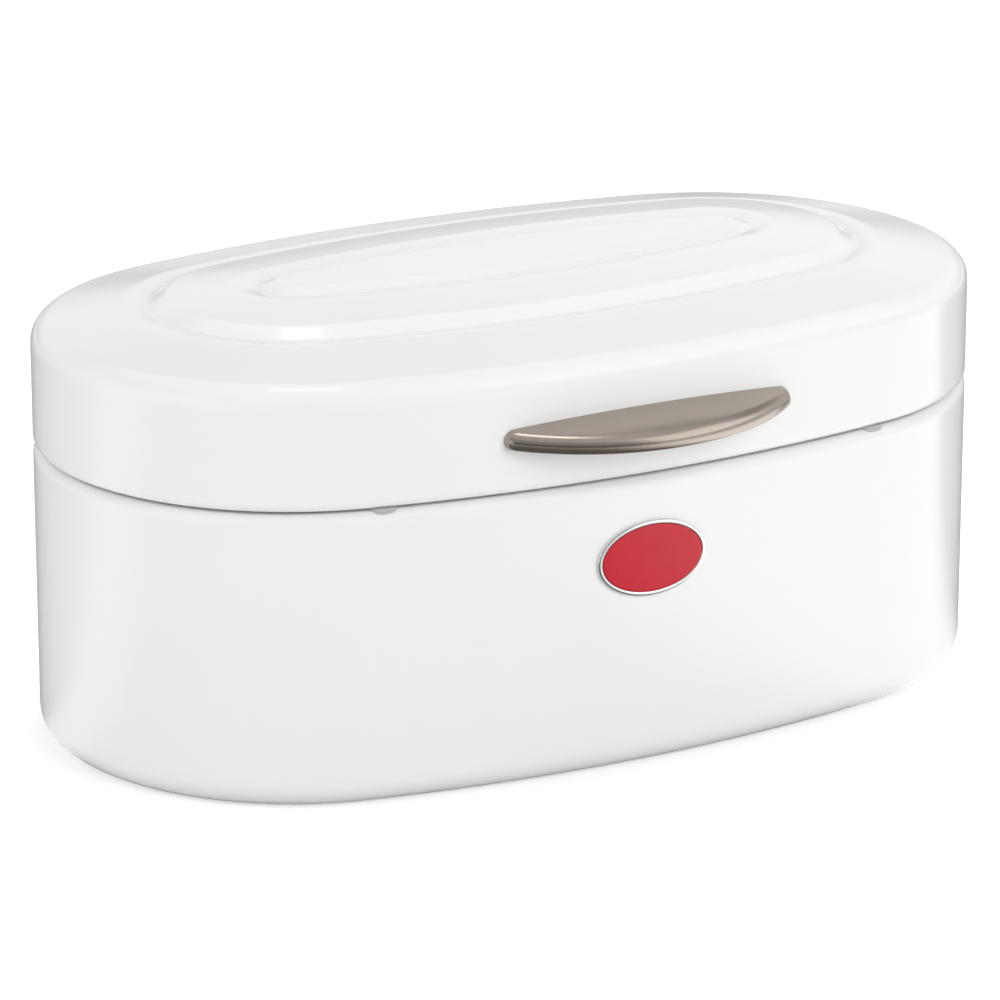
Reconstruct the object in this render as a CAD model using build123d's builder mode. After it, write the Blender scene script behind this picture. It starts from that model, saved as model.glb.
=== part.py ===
"""Bread box: an oval body drawn from sheet steel, a hinged lid with an embossed crown, a half-moon
handle, a plain oval badge, buffers in the seam and a riveted hinge with a stop.

Millimetres. X runs along the box, the front faces -Y, Z is up and zero is the table.
"""

import math
import os

from build123d import *

# Plan of the box: an oval of four arcs, the same for the body and the lid
length = 340.0
width = 194.0
side_bow = 8.4  # how far the long walls swell past the radius of the round ends

# Sheet steel of both shells, and the rolled-in edges that meet at the seam
sheet = 0.9
rim_width = 10.0  # from the outside of the wall to the mouth
lip_depth = 4.0  # the edge of the sheet, turned back from the mouth
lip_radius = 1.6
seam_gap = 1.0

# Body
body_height = 101.7  # table to the top of the rim
base_radius = 10.5
rim_radius = 3.5
floor_ring = 12.0  # flat ring that the box stands on, inside the rounded edge
floor_step = 4.0  # slope from the ring up to the raised floor
floor_lift = 2.0
floor_radius = 3.0
floor_land = 3.0  # flat of the raised floor that belongs to the swept section
vent_diameter = 5.0
vent_pitch = 14.0
vent_count = 9
vent_drop = 41.7  # from the rim down to the row of vents

# Lid: a straight skirt, a rounded edge and a domed crown with two grooves pressed round a flat top
skirt_height = 40.8  # lower edge to the corner of skirt and crown, before rounding
lid_edge_radius = 3.0
crown_radius = 8.0
shoulder_width = 33.2  # sloping border of the crown, out to the lip of the first groove
shoulder_rise = 6.3
first_groove_outer = 6.0  # from the lip to the lowest line of the groove
first_groove_inner = 6.2  # and on to the crest inside it
first_groove_depth = 1.3  # below the lip
first_crest_rise = 4.1  # above the lowest line
terrace_rise = 1.5  # from the crest to the middle of the domed ring between the grooves
terrace_round = 160.0
second_lip_rise = 1.1  # above the middle of that ring
second_groove_outer = 7.0
second_groove_inner = 6.4
second_groove_depth = 1.1
second_crest_rise = 1.9
plateau_width = 30.6
plateau_land = 2.0  # flat ring of the top next to its crest
lip_round = 18.0
groove_round = 4.5
crest_round = 3.0

# Handle on the front of the skirt: a half-moon plate that falls towards its front edge
handle_span = 108.0
handle_reach = 20.0
handle_rise = 24.2  # back edge of the top above the lid's lower edge, in the middle
handle_fall = 4.4  # how much lower the front edge lies than the back edge
handle_droop = 3.0  # how much lower the tips lie than the middle
handle_thickness = 5.8
handle_tip_radius = 5.0
handle_top_round = 3.4
handle_under_round = 1.8
handle_bed = 8.0  # how far the slanting tool starts inside the lid
handle_lip = 4.0  # wall round the finger hollow
handle_back = 3.0  # wall of the hollow next to the lid
handle_hollow = 3.2
boss_width = 10.0
boss_reach = 9.0
boss_foot = 4.0  # below the screw's axis

# Screws of the handle, from inside the lid
screw_pitch = 64.0
screw_diameter = 4.0
screw_bite = 7.0  # length inside the handle
screw_head_diameter = 8.0
screw_head_height = 2.6
screw_head_round = 1.2
washer_diameter = 12.0
washer_thickness = 1.5
screw_drop = 5.6  # axis below the back edge of the handle's top
hole_clearance = 0.1

# Badge on the front of the body
badge_width = 41.0
badge_tall = 26.0
badge_thickness = 1.3  # from the wall to the top of the rim
badge_film = 0.05  # adhesive between the wall and the plate
badge_floor = 0.45
badge_rim = 1.5
badge_dip = 0.15  # the filling stays this much below the rim
badge_drop = 27.7  # from the rim down to the middle of the badge
badge_bed = 1.5  # how far the oval tool starts inside the wall
fill_clearance = 0.03

# Buffers on the body's rim
buffer_spread = 188.0
buffer_diameter = 10.0
buffer_inset = 5.3
buffer_skin = 0.1  # sheet left under the buffer's drawn-down edge
buffer_clearance = 0.15

# Hinge at the back
hinge_length = 72.0
knuckles = 5
knuckle_gap = 0.3
barrel_radius = 3.0
barrel_clearance = 0.4
leaf_thickness = 1.2
leaf_height = 15.0  # from the pin's axis to the far edge of a leaf
pin_diameter = 3.0
pin_clearance = 0.05
pin_head_diameter = 4.8
pin_head_height = 1.2
pin_end_play = 0.15
lid_open_angle = 95.0
heel_reach = 5.8
heel_thickness = 2.2
heel_root = 1.8
stop_clearance = 0.3

# Rivets of the hinge
rivet_pitch = 24.0
rivets_per_leaf = 3
rivet_diameter = 3.0
rivet_head_diameter = 5.6
rivet_head_height = 1.3
rivet_tail_diameter = 5.0
rivet_tail_height = 0.9
rivet_height = 9.7  # from the pin's axis
seat_clearance = 0.02

# Worked out from the sizes above
half_length = length / 2
half_width = width / 2
end_radius = half_width - side_bow
end_centre = half_length - end_radius
side_radius = (end_centre**2 + half_width**2 - end_radius**2) / (2 * side_bow)
side_centre = side_radius - half_width
junction = math.degrees(math.atan2(side_centre, end_centre))

rim_top = body_height
lid_bottom = rim_top + seam_gap
mouth = half_length - rim_width
floor_edge = base_radius + floor_ring
floor_inset = floor_edge + floor_step + floor_land

vent_z = rim_top - vent_drop
badge_z = rim_top - badge_drop
badge_low = badge_z - badge_tall

groove_1 = shoulder_width + first_groove_outer
crest_1 = groove_1 + first_groove_inner
crest_2 = half_width - plateau_width / 2
groove_2 = crest_2 - second_groove_inner
lip_2 = groove_2 - second_groove_outer
terrace = (crest_1 + lip_2) / 2
corner_z = lid_bottom + skirt_height
lip_1_z = corner_z + shoulder_rise
groove_1_z = lip_1_z - first_groove_depth
crest_1_z = groove_1_z + first_crest_rise
terrace_z = crest_1_z + terrace_rise
lip_2_z = terrace_z + second_lip_rise
groove_2_z = lip_2_z - second_groove_depth
crown_z = groove_2_z + second_crest_rise

hinge_y = half_width + barrel_clearance + barrel_radius
hinge_z = rim_top + seam_gap / 2
leaf_relief = barrel_radius + barrel_clearance
knuckle_pitch = hinge_length / knuckles
knuckle_length = knuckle_pitch - knuckle_gap
bore_radius = pin_diameter / 2 + pin_clearance

handle_top = lid_bottom + handle_rise
handle_low = handle_top - handle_fall - handle_droop - 2 * handle_thickness
handle_room = 2 * (handle_top - handle_low)
screw_z = handle_top - screw_drop


def oval(inset=0.0):
    """Draws the plan of the box, drawn in by inset, into the open line builder."""
    end, side = end_radius - inset, side_radius - inset
    CenterArc((end_centre, 0), end, -junction, 2 * junction)
    CenterArc((0, -side_centre), side, junction, 180 - 2 * junction)
    CenterArc((-end_centre, 0), end, 180 - junction, 2 * junction)
    CenterArc((0, side_centre), side, 180 + junction, 180 - 2 * junction)


def wall_depth(across):
    """How far the outside of a long wall lies from the middle of the box, at this X."""
    return math.sqrt(side_radius**2 - across**2) - side_centre


def back_plane(across, height, proud):
    """Plane proud of the back wall, with its Z square to the wall and pointing away from it."""
    lean = across / side_radius
    outward = Vector(lean, math.sqrt(1 - lean**2), 0)
    foot = Vector(across, wall_depth(across), height)
    return Plane(origin=foot + outward * proud, x_dir=(0, 0, 1), z_dir=outward)


def knuckle_start(number):
    """X where a knuckle of the hinge begins, counted from the left."""
    return -hinge_length / 2 + number * knuckle_pitch + knuckle_gap / 2


rivet_xs = [(i - (rivets_per_leaf - 1) / 2) * rivet_pitch for i in range(rivets_per_leaf)]
screw_xs = [-screw_pitch / 2, screw_pitch / 2]

# Body shell: one section of sheet swept round the oval, closed by the flat of the floor
with BuildPart() as body_shell:
    with BuildLine() as body_path:
        oval()
    with BuildSketch(Plane.XZ):
        with BuildLine():
            FilletPolyline(
                (half_length - floor_inset, floor_lift),
                (half_length - floor_edge - floor_step, floor_lift),
                (half_length - floor_edge, 0),
                (half_length, 0),
                (half_length, rim_top),
                (mouth, rim_top),
                (mouth, rim_top - lip_depth),
                radius=(floor_radius, floor_radius, base_radius, rim_radius, lip_radius),
            )
            offset(amount=sheet, side=Side.LEFT)
        make_face()
    sweep(path=body_path.wires()[0])
    with BuildSketch(Plane.XY.offset(floor_lift)):
        with BuildLine():
            oval(floor_inset)
        make_face()
    extrude(amount=sheet)
    with BuildSketch(Plane.XZ.offset(-half_width - sheet)):
        with Locations((0, vent_z)):
            with GridLocations(vent_pitch, 1, vent_count, 1):
                Circle(vent_diameter / 2)
    extrude(amount=half_width, mode=Mode.SUBTRACT)
    for x in rivet_xs:
        with BuildSketch(back_plane(x, hinge_z - rivet_height, sheet)):
            Circle(rivet_diameter / 2 + hole_clearance)
        extrude(amount=-3 * sheet, mode=Mode.SUBTRACT)
body_shell.part.label = "body_shell"

# Lid shell: the same way, from the turned-back lip over skirt and crown to the flat top
with BuildPart() as lid_shell:
    with BuildLine() as lid_path:
        oval()
    with BuildSketch(Plane.XZ):
        with BuildLine():
            FilletPolyline(
                (mouth, lid_bottom + lip_depth),
                (mouth, lid_bottom),
                (half_length, lid_bottom),
                (half_length, corner_z),
                (half_length - shoulder_width, lip_1_z),
                (half_length - groove_1, groove_1_z),
                (half_length - crest_1, crest_1_z),
                (half_length - terrace, terrace_z),
                (half_length - lip_2, lip_2_z),
                (half_length - groove_2, groove_2_z),
                (half_length - crest_2, crown_z),
                (half_length - crest_2 - plateau_land, crown_z),
                radius=(
                    lip_radius,
                    lid_edge_radius,
                    crown_radius,
                    lip_round,
                    groove_round,
                    crest_round,
                    terrace_round,
                    lip_round,
                    groove_round,
                    crest_round,
                ),
            )
            offset(amount=sheet, side=Side.LEFT)
        make_face()
    sweep(path=lid_path.wires()[0])
    with BuildSketch(Plane.XY.offset(crown_z)):
        with BuildLine():
            oval(crest_2 + plateau_land)
        make_face()
    extrude(amount=-sheet)
    with BuildSketch(Plane.XZ.offset(half_width + sheet)):
        with Locations(*[(x, screw_z) for x in screw_xs]):
            Circle(screw_diameter / 2 + hole_clearance)
    extrude(amount=-half_width, mode=Mode.SUBTRACT)
    for x in rivet_xs:
        with BuildSketch(back_plane(x, hinge_z + rivet_height, sheet)):
            Circle(rivet_diameter / 2 + hole_clearance)
        extrude(amount=-3 * sheet, mode=Mode.SUBTRACT)
lid_shell.part.label = "lid_shell"


def half_moon(inset):
    """Draws the handle's plan, drawn in by inset: a bow between two round tips, closed inside
    the lid. The bow touches each tip's circle from outside it."""
    tip_x = handle_span / 2 - handle_tip_radius
    tip_y = -wall_depth(tip_x)
    depth = half_width + handle_reach + tip_y
    bow = (tip_x**2 + depth**2 - handle_tip_radius**2) / (2 * (depth - handle_tip_radius))
    bow_y = bow - half_width - handle_reach
    turn = math.degrees(math.atan2(bow_y - tip_y, tip_x))
    tip = handle_tip_radius - inset
    CenterArc((0, bow_y), bow - inset, 180 + turn, 180 - 2 * turn)
    CenterArc((tip_x, tip_y), tip, -turn, 90 + turn)
    Line((tip_x, tip_y + tip), (-tip_x, tip_y + tip))
    CenterArc((-tip_x, tip_y), tip, 90, 90 + turn)


def arched_band(top, deep):
    """Draws a band under an arched line, whose middle lies at this height where the handle meets
    the lid. The band starts inside the lid, so it starts higher by the handle's fall."""
    end = handle_span / 2 + handle_tip_radius
    crest = top + handle_bed * handle_fall / handle_reach
    tips = crest - handle_droop * (2 * end / handle_span) ** 2
    ThreePointArc((-end, tips), (0, crest), (end, tips))
    Line((end, tips), (end, tips - deep))
    ThreePointArc((end, tips - deep), (0, crest - deep), (-end, tips - deep))
    Line((-end, tips - deep), (-end, tips))


# Handle: an arched, falling plate cut to the half-moon, hollow below between two screw bosses
slant = (0, -handle_reach, -handle_fall)
slant_length = handle_bed + 2 * handle_reach
with BuildPart() as handle:
    with BuildSketch(Plane.XZ.offset(half_width - handle_bed)):
        with BuildLine():
            arched_band(handle_top, handle_thickness)
        make_face()
    extrude(amount=slant_length, dir=slant)
    with BuildSketch(Plane.XY.offset(handle_low)):
        with BuildLine():
            half_moon(0)
        make_face()
    extrude(amount=handle_room, mode=Mode.INTERSECT)
    fillet(handle.faces().sort_by(Axis.Z)[-1].edges(), handle_top_round)
    fillet(handle.faces().sort_by(Axis.Z)[0].edges(), handle_under_round)
    with BuildSketch(Plane.XY.offset(screw_z - boss_foot)):
        with Locations(*[(x, -wall_depth(x)) for x in screw_xs]):
            Rectangle(boss_width, 2 * boss_reach)
    extrude(amount=boss_foot)
    with BuildSketch(Plane.XY.offset(handle_low)):
        with BuildLine():
            oval()
        make_face()
    extrude(amount=handle_room, mode=Mode.SUBTRACT)
    with BuildPart(mode=Mode.SUBTRACT):
        with BuildSketch(Plane.XZ.offset(half_width - handle_bed)):
            with BuildLine():
                arched_band(handle_top - handle_thickness + handle_hollow, 2 * handle_hollow)
            make_face()
        extrude(amount=slant_length, dir=slant)
        with BuildSketch(Plane.XY.offset(handle_low)):
            with BuildLine():
                half_moon(handle_lip)
            make_face()
            with BuildLine():
                oval(-handle_back)
            make_face(mode=Mode.SUBTRACT)
            with Locations(*[(x, -wall_depth(x)) for x in screw_xs]):
                Rectangle(boss_width, 2 * handle_reach, mode=Mode.SUBTRACT)
        extrude(amount=handle_room, mode=Mode.INTERSECT)
    with BuildSketch(Plane.XZ):
        with Locations(*[(x, screw_z) for x in screw_xs]):
            Circle(screw_diameter / 2 + hole_clearance / 2)
    extrude(amount=half_width + screw_bite + hole_clearance, mode=Mode.SUBTRACT)
handle.part.label = "handle"

# Washers: square to the screws inside, shaped to the wall outside
washer_face = wall_depth(screw_pitch / 2) - sheet - washer_thickness
with BuildPart() as handle_washers:
    with BuildSketch(Plane.XZ.offset(washer_face)):
        with Locations(*[(x, screw_z) for x in screw_xs]):
            Circle(washer_diameter / 2)
            Circle(screw_diameter / 2 + hole_clearance, mode=Mode.SUBTRACT)
    extrude(amount=2 * washer_thickness)
    with BuildSketch(Plane.XY.offset(screw_z - washer_diameter)):
        with BuildLine():
            oval(sheet)
        make_face()
    extrude(amount=2 * washer_diameter, mode=Mode.INTERSECT)
handle_washers.part.label = "handle_washers"

# Screws: a rounded head inside the lid, a plain shank into the handle's boss
screw_tip = half_width + screw_bite
with BuildPart() as handle_screws:
    with BuildSketch(Plane.XZ.offset(washer_face)):
        with Locations(*[(x, screw_z) for x in screw_xs]):
            Circle(screw_head_diameter / 2)
    extrude(amount=-screw_head_height)
    fillet(handle_screws.edges().group_by(Axis.Y)[-1], screw_head_round)
    with BuildSketch(Plane.XZ.offset(washer_face)):
        with Locations(*[(x, screw_z) for x in screw_xs]):
            Circle(screw_diameter / 2)
    extrude(amount=screw_tip - washer_face)
handle_screws.part.label = "handle_screws"

# Badge: a metal plate bent to the wall, with a pocket inside its rim
with BuildPart() as badge_plate:
    with BuildSketch(Plane.XY.offset(badge_low)):
        with BuildLine():
            oval(-badge_thickness)
        make_face()
        with BuildLine():
            oval(-badge_film)
        make_face(mode=Mode.SUBTRACT)
        with Locations((0, -half_width)):
            Rectangle(2 * badge_width, half_width, mode=Mode.INTERSECT)
    extrude(amount=2 * badge_tall)
    with BuildSketch(Plane.XZ.offset(half_width - badge_bed)):
        with Locations((0, badge_z)):
            Ellipse(badge_width / 2, badge_tall / 2)
    extrude(amount=2 * badge_bed + 2 * badge_thickness, mode=Mode.INTERSECT)
    with BuildPart(mode=Mode.SUBTRACT):
        with BuildSketch(Plane.XY.offset(badge_low)):
            with BuildLine():
                oval(-2 * badge_thickness)
            make_face()
            with BuildLine():
                oval(-badge_floor)
            make_face(mode=Mode.SUBTRACT)
            with Locations((0, -half_width)):
                Rectangle(2 * badge_width, half_width, mode=Mode.INTERSECT)
        extrude(amount=2 * badge_tall)
        with BuildSketch(Plane.XZ.offset(half_width - badge_bed)):
            with Locations((0, badge_z)):
                Ellipse(badge_width / 2 - badge_rim, badge_tall / 2 - badge_rim)
        extrude(amount=2 * badge_bed + 2 * badge_thickness, mode=Mode.INTERSECT)
badge_plate.part.label = "badge_plate"

# Filling of the badge, bent like the plate and a little lower than its rim
fill_inset = badge_rim + fill_clearance
with BuildPart() as badge_fill:
    with BuildSketch(Plane.XY.offset(badge_low)):
        with BuildLine():
            oval(badge_dip - badge_thickness)
        make_face()
        with BuildLine():
            oval(-badge_floor - fill_clearance)
        make_face(mode=Mode.SUBTRACT)
        with Locations((0, -half_width)):
            Rectangle(2 * badge_width, half_width, mode=Mode.INTERSECT)
    extrude(amount=2 * badge_tall)
    with BuildSketch(Plane.XZ.offset(half_width - badge_bed)):
        with Locations((0, badge_z)):
            Ellipse(badge_width / 2 - fill_inset, badge_tall / 2 - fill_inset)
    extrude(amount=2 * badge_bed + 2 * badge_thickness, mode=Mode.INTERSECT)
badge_fill.part.label = "badge_fill"

# Hinge leaf on the body: a plate bent to the wall and the outer and middle knuckles
with BuildPart() as hinge_body_leaf:
    with BuildSketch(Plane.XY.offset(hinge_z - leaf_height)):
        with BuildLine():
            oval(-leaf_thickness)
        make_face()
        with BuildLine():
            oval()
        make_face(mode=Mode.SUBTRACT)
        with Locations((0, half_width)):
            Rectangle(hinge_length, width / 2, mode=Mode.INTERSECT)
    extrude(amount=leaf_height - leaf_relief)
    for number in range(0, knuckles, 2):
        with BuildSketch(Plane.YZ.offset(knuckle_start(number))):
            with Locations((hinge_y, hinge_z)):
                Circle(barrel_radius)
                Rectangle(2 * leaf_relief, leaf_relief + leaf_thickness, align=(Align.MAX, Align.MAX))
        extrude(amount=knuckle_length)
    with BuildSketch(Plane.XY.offset(hinge_z - leaf_height)):
        with BuildLine():
            oval()
        make_face()
    extrude(amount=leaf_height + barrel_radius, mode=Mode.SUBTRACT)
    with BuildSketch(Plane.YZ.offset(-hinge_length / 2)):
        with Locations((hinge_y, hinge_z)):
            Circle(bore_radius)
    extrude(amount=hinge_length, mode=Mode.SUBTRACT)
    for x in rivet_xs:
        with BuildSketch(back_plane(x, hinge_z - rivet_height, 2 * leaf_thickness)):
            Circle(rivet_diameter / 2 + hole_clearance)
        extrude(amount=-3 * leaf_thickness, mode=Mode.SUBTRACT)
hinge_body_leaf.part.label = "hinge_body_leaf"

# Hinge leaf on the lid: the knuckles between, each with a heel that meets the body's leaf when open
with BuildPart() as hinge_lid_leaf:
    with BuildSketch(Plane.XY.offset(hinge_z + leaf_relief)):
        with BuildLine():
            oval(-leaf_thickness)
        make_face()
        with BuildLine():
            oval()
        make_face(mode=Mode.SUBTRACT)
        with Locations((0, half_width)):
            Rectangle(hinge_length, width / 2, mode=Mode.INTERSECT)
    extrude(amount=leaf_height - leaf_relief)
    for number in range(1, knuckles, 2):
        with BuildSketch(Plane.YZ.offset(knuckle_start(number))):
            with Locations((hinge_y, hinge_z)):
                Circle(barrel_radius)
                Rectangle(2 * leaf_relief, leaf_relief + leaf_thickness, align=(Align.MAX, Align.MIN))
            with Locations(Location((hinge_y, hinge_z, 0), (0, 0, lid_open_angle))):
                with Locations((leaf_thickness + stop_clearance - leaf_relief, -heel_root)):
                    Rectangle(heel_thickness, heel_reach - heel_root, align=(Align.MIN, Align.MAX))
        extrude(amount=knuckle_length)
    with BuildSketch(Plane.XY.offset(hinge_z - barrel_radius)):
        with BuildLine():
            oval()
        make_face()
    extrude(amount=leaf_height + 2 * barrel_radius, mode=Mode.SUBTRACT)
    with BuildSketch(Plane.YZ.offset(-hinge_length / 2)):
        with Locations((hinge_y, hinge_z)):
            Circle(bore_radius)
    extrude(amount=hinge_length, mode=Mode.SUBTRACT)
    for x in rivet_xs:
        with BuildSketch(back_plane(x, hinge_z + rivet_height, 2 * leaf_thickness)):
            Circle(rivet_diameter / 2 + hole_clearance)
        extrude(amount=-3 * leaf_thickness, mode=Mode.SUBTRACT)
hinge_lid_leaf.part.label = "hinge_lid_leaf"

# Hinge pin with a head at each end
pin_reach = hinge_length / 2 + pin_end_play
with BuildPart() as hinge_pin:
    with BuildSketch(Plane.YZ.offset(-pin_reach)):
        with Locations((hinge_y, hinge_z)):
            Circle(pin_diameter / 2)
    extrude(amount=2 * pin_reach)
    for start, grow in ((pin_reach, pin_head_height), (-pin_reach, -pin_head_height)):
        with BuildSketch(Plane.YZ.offset(start)):
            with Locations((hinge_y, hinge_z)):
                Circle(pin_head_diameter / 2)
        extrude(amount=grow)
    fillet(hinge_pin.edges().group_by(Axis.X)[0], pin_head_height / 2)
    fillet(hinge_pin.edges().group_by(Axis.X)[-1], pin_head_height / 2)
hinge_pin.part.label = "hinge_pin"

# One rivet, standing on the leaf's outside: domed head, shank, and the tail set inside the wall
grip = leaf_thickness + sheet + seat_clearance
with BuildPart() as rivet:
    with BuildSketch(Plane.XZ):
        with BuildLine():
            Polyline(
                (0, rivet_head_height),
                (0, -grip - rivet_tail_height),
                (rivet_tail_diameter / 2, -grip - rivet_tail_height),
                (rivet_tail_diameter / 2, -grip),
                (rivet_diameter / 2, -grip),
                (rivet_diameter / 2, seat_clearance),
                (rivet_head_diameter / 2, seat_clearance),
            )
            RadiusArc(
                (rivet_head_diameter / 2, seat_clearance),
                (0, rivet_head_height),
                -(rivet_head_diameter**2 / 4 + (rivet_head_height - seat_clearance) ** 2)
                / (2 * (rivet_head_height - seat_clearance)),
            )
        make_face()
    revolve(axis=Axis.Z)

with BuildPart() as hinge_body_rivets:
    with Locations(*[back_plane(x, hinge_z - rivet_height, leaf_thickness) for x in rivet_xs]):
        add(rivet.part)
hinge_body_rivets.part.label = "hinge_body_rivets"

with BuildPart() as hinge_lid_rivets:
    with Locations(*[back_plane(x, hinge_z + rivet_height, leaf_thickness) for x in rivet_xs]):
        add(rivet.part)
hinge_lid_rivets.part.label = "hinge_lid_rivets"


pieces = [
    body_shell,
    lid_shell,
    handle,
    handle_washers,
    handle_screws,
    badge_plate,
    badge_fill,
    hinge_body_leaf,
    hinge_lid_leaf,
    hinge_pin,
    hinge_body_rivets,
    hinge_lid_rivets,
]

# Buffers: soft buttons on the rim, their outer edge drawn down over its rounding
for name, hand in (("buffer_left", -1), ("buffer_right", 1)):
    across = hand * buffer_spread / 2
    lean = across / side_radius
    inward = side_radius - buffer_inset
    with BuildPart() as buffer:
        with BuildSketch(Plane.XY.offset(rim_top - sheet + buffer_skin)):
            with Locations((inward * lean, side_centre - inward * math.sqrt(1 - lean**2))):
                Circle(buffer_diameter / 2)
        extrude(amount=sheet - buffer_skin + seam_gap - buffer_clearance)
        add(body_shell.part, mode=Mode.SUBTRACT)
    buffer.part.label = name
    pieces.append(buffer)

os.makedirs("parts", exist_ok=True)
for piece in pieces:
    export_step(piece.part, f"parts/{piece.part.label}.step")
    print(piece.part.label, round(piece.part.volume), "mm3")
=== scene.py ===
# %% [markdown]
# # An oval bread box
# The box is a body and a lid, both drawn from sheet steel and coated white, with a half-moon
# handle of satin nickel, a small red badge, two clear buffers in the seam and a riveted hinge at
# the back. The CAD model gives every piece its place. Here each piece is made again with smooth
# curves and real finishes, and put where its solid is. Sizes are in millimetres, as in a workshop
# drawing, and become metres when a mesh is made.

# %% Load the CAD frame
import math

import bmesh
import bpy
from mathutils import Matrix, Vector


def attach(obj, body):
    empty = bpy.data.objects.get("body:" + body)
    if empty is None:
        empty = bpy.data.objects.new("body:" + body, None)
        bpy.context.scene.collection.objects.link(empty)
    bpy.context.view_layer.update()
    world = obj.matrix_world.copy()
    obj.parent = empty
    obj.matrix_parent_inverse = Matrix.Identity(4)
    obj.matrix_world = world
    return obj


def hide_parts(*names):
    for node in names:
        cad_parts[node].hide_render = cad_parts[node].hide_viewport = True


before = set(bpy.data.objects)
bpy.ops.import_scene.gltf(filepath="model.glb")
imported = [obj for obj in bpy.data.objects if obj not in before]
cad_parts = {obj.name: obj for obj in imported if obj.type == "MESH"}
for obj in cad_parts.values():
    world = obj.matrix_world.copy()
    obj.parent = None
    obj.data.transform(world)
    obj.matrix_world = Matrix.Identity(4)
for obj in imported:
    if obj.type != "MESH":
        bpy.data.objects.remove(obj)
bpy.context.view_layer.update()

MM = 0.001


def new_object(name, data):
    """An object in the scene that holds a mesh, a curve, a lamp or a camera."""
    made = bpy.data.objects.new(name, data)
    bpy.context.scene.collection.objects.link(made)
    return made


# %% [markdown]
# ## Reckoning with nodes
# Shaders and Geometry Nodes are both graphs of sockets. A drawing of wires is hard to read as
# code, so one small class holds a socket and lets us write plain sums: `1 - mask * 0.3` adds the
# Math nodes by itself. Every other kind of node comes from its `node` method.


# %% A wire between nodes
class Wire:
    """An output of a node in a tree. Sums and products of wires add Math nodes."""

    def __init__(self, tree, socket=None):
        self.tree = tree
        self.socket = socket

    def node(self, kind, settings=None, sockets=None, out=0):
        """Adds a node: its settings first, then the values or wires of its sockets."""
        made = self.tree.nodes.new(kind)
        for name, value in (settings or {}).items():
            if name == "stops":
                ramp = made.color_ramp.elements
                while len(ramp) < len(value):
                    ramp.new(0.5)
                for stop, (place, colour) in zip(ramp, value):
                    stop.position = place
                    stop.color = colour
            else:
                setattr(made, name, value)
        for key, value in (sockets or {}).items():
            if isinstance(value, Wire):
                self.tree.links.new(value.socket, made.inputs[key])
            else:
                made.inputs[key].default_value = value
        return Wire(self.tree, made.outputs[out])

    def math(self, operation, first, second=0.0):
        return self.node("ShaderNodeMath", {"operation": operation}, {0: first, 1: second})

    def __add__(self, other):
        return self.math("ADD", self, other)

    def __radd__(self, other):
        return self.math("ADD", other, self)

    def __sub__(self, other):
        return self.math("SUBTRACT", self, other)

    def __rsub__(self, other):
        return self.math("SUBTRACT", other, self)

    def __mul__(self, other):
        return self.math("MULTIPLY", self, other)

    def __rmul__(self, other):
        return self.math("MULTIPLY", other, self)

    def __truediv__(self, other):
        return self.math("DIVIDE", self, other)

    def __rtruediv__(self, other):
        return self.math("DIVIDE", other, self)


# %% [markdown]
# ## The white coat
# Body and lid are sprayed with a white stoving enamel. It is a hard, glossy skin, nearly neutral,
# and it is never a perfect mirror: the coat levels out into a very fine orange peel, and its
# gloss drifts a little over a hand's breadth. A Principled shader with a low roughness gives the
# skin, one slow noise moves the gloss and the tone, and one fine noise gives the orange peel.


# %% Start a material
def start_material(name, **principled):
    """A material with its Principled shader's constants set, and a wire to build the rest from."""
    material = bpy.data.materials.new(name)
    material.use_nodes = True
    tree = material.node_tree
    shader = tree.nodes["Principled BSDF"]
    for socket, value in principled.items():
        shader.inputs[socket.replace("_", " ")].default_value = value
    wire = Wire(tree)
    place = wire.node("ShaderNodeTexCoord", out="Object")
    print("finish", name)
    return material, shader, wire, place


def feed(shader, socket, wire):
    """Leads a wire into a socket of a shader."""
    wire.tree.links.new(wire.socket, shader.inputs[socket])


# %% Noise, tint and bump
def noise(wire, place, size, detail=2.0, roughness=0.5):
    """Noise whose lumps are about this many millimetres across, from 0 to 1."""
    sockets = {"Vector": place, "Scale": 1 / (size * MM), "Detail": detail, "Roughness": roughness}
    return wire.node("ShaderNodeTexNoise", {}, sockets)


def tint(wire, mask, low, high):
    """A colour between two others."""
    sockets = {"Factor": mask, "A": (*low, 1), "B": (*high, 1)}
    return wire.node("ShaderNodeMix", {"data_type": "RGBA"}, sockets, out="Result")


def bump(wire, height, strength, distance):
    """A normal from a height, the distance being the full height in millimetres."""
    sockets = {"Height": height, "Strength": strength, "Distance": distance * MM}
    return wire.node("ShaderNodeBump", {}, sockets)


# %% White coat
def make_white_coat(name):
    material, shader, wire, place = start_material(name, IOR=1.52)
    drift = noise(wire, place, 70)
    peel = noise(wire, place, 1.1, detail=1.0)
    feed(shader, "Base Color", tint(wire, drift, (0.845, 0.848, 0.845), (0.865, 0.866, 0.86)))
    feed(shader, "Roughness", 0.11 + 0.05 * drift + 0.02 * peel)
    feed(shader, "Normal", bump(wire, peel, 0.12, 0.012))
    return material


white_coat = make_white_coat("white_coat")

# %% [markdown]
# ## Body and lid: one section swept round an oval
# Each shell is pressed from one sheet, so a cut through its wall is the same everywhere round the
# box: a thin line with rounded corners. A round box could be spun from that line, but this plan is
# an oval of four arcs, so the section is swept along the oval with Curve to Mesh. The tree makes
# the oval from its arcs and sweeps the section that the object carries as a curve. The hole that
# stays in the middle is closed afterwards with two flat sheets.

# %% Sizes of the oval
length, width = 340.0, 194.0
side_bow = 8.4
sheet = 0.9
end_radius = width / 2 - side_bow
end_centre = length / 2 - end_radius
side_radius = (end_centre**2 + (width / 2) ** 2 - end_radius**2) / (2 * side_bow)
side_centre = side_radius - width / 2
print("end arcs", round(end_radius, 1), "side arcs", round(side_radius, 1))


def wall_depth(across):
    """How far the outside of a long wall lies from the middle of the box, at this X."""
    return math.sqrt(side_radius**2 - across**2) - side_centre


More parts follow.
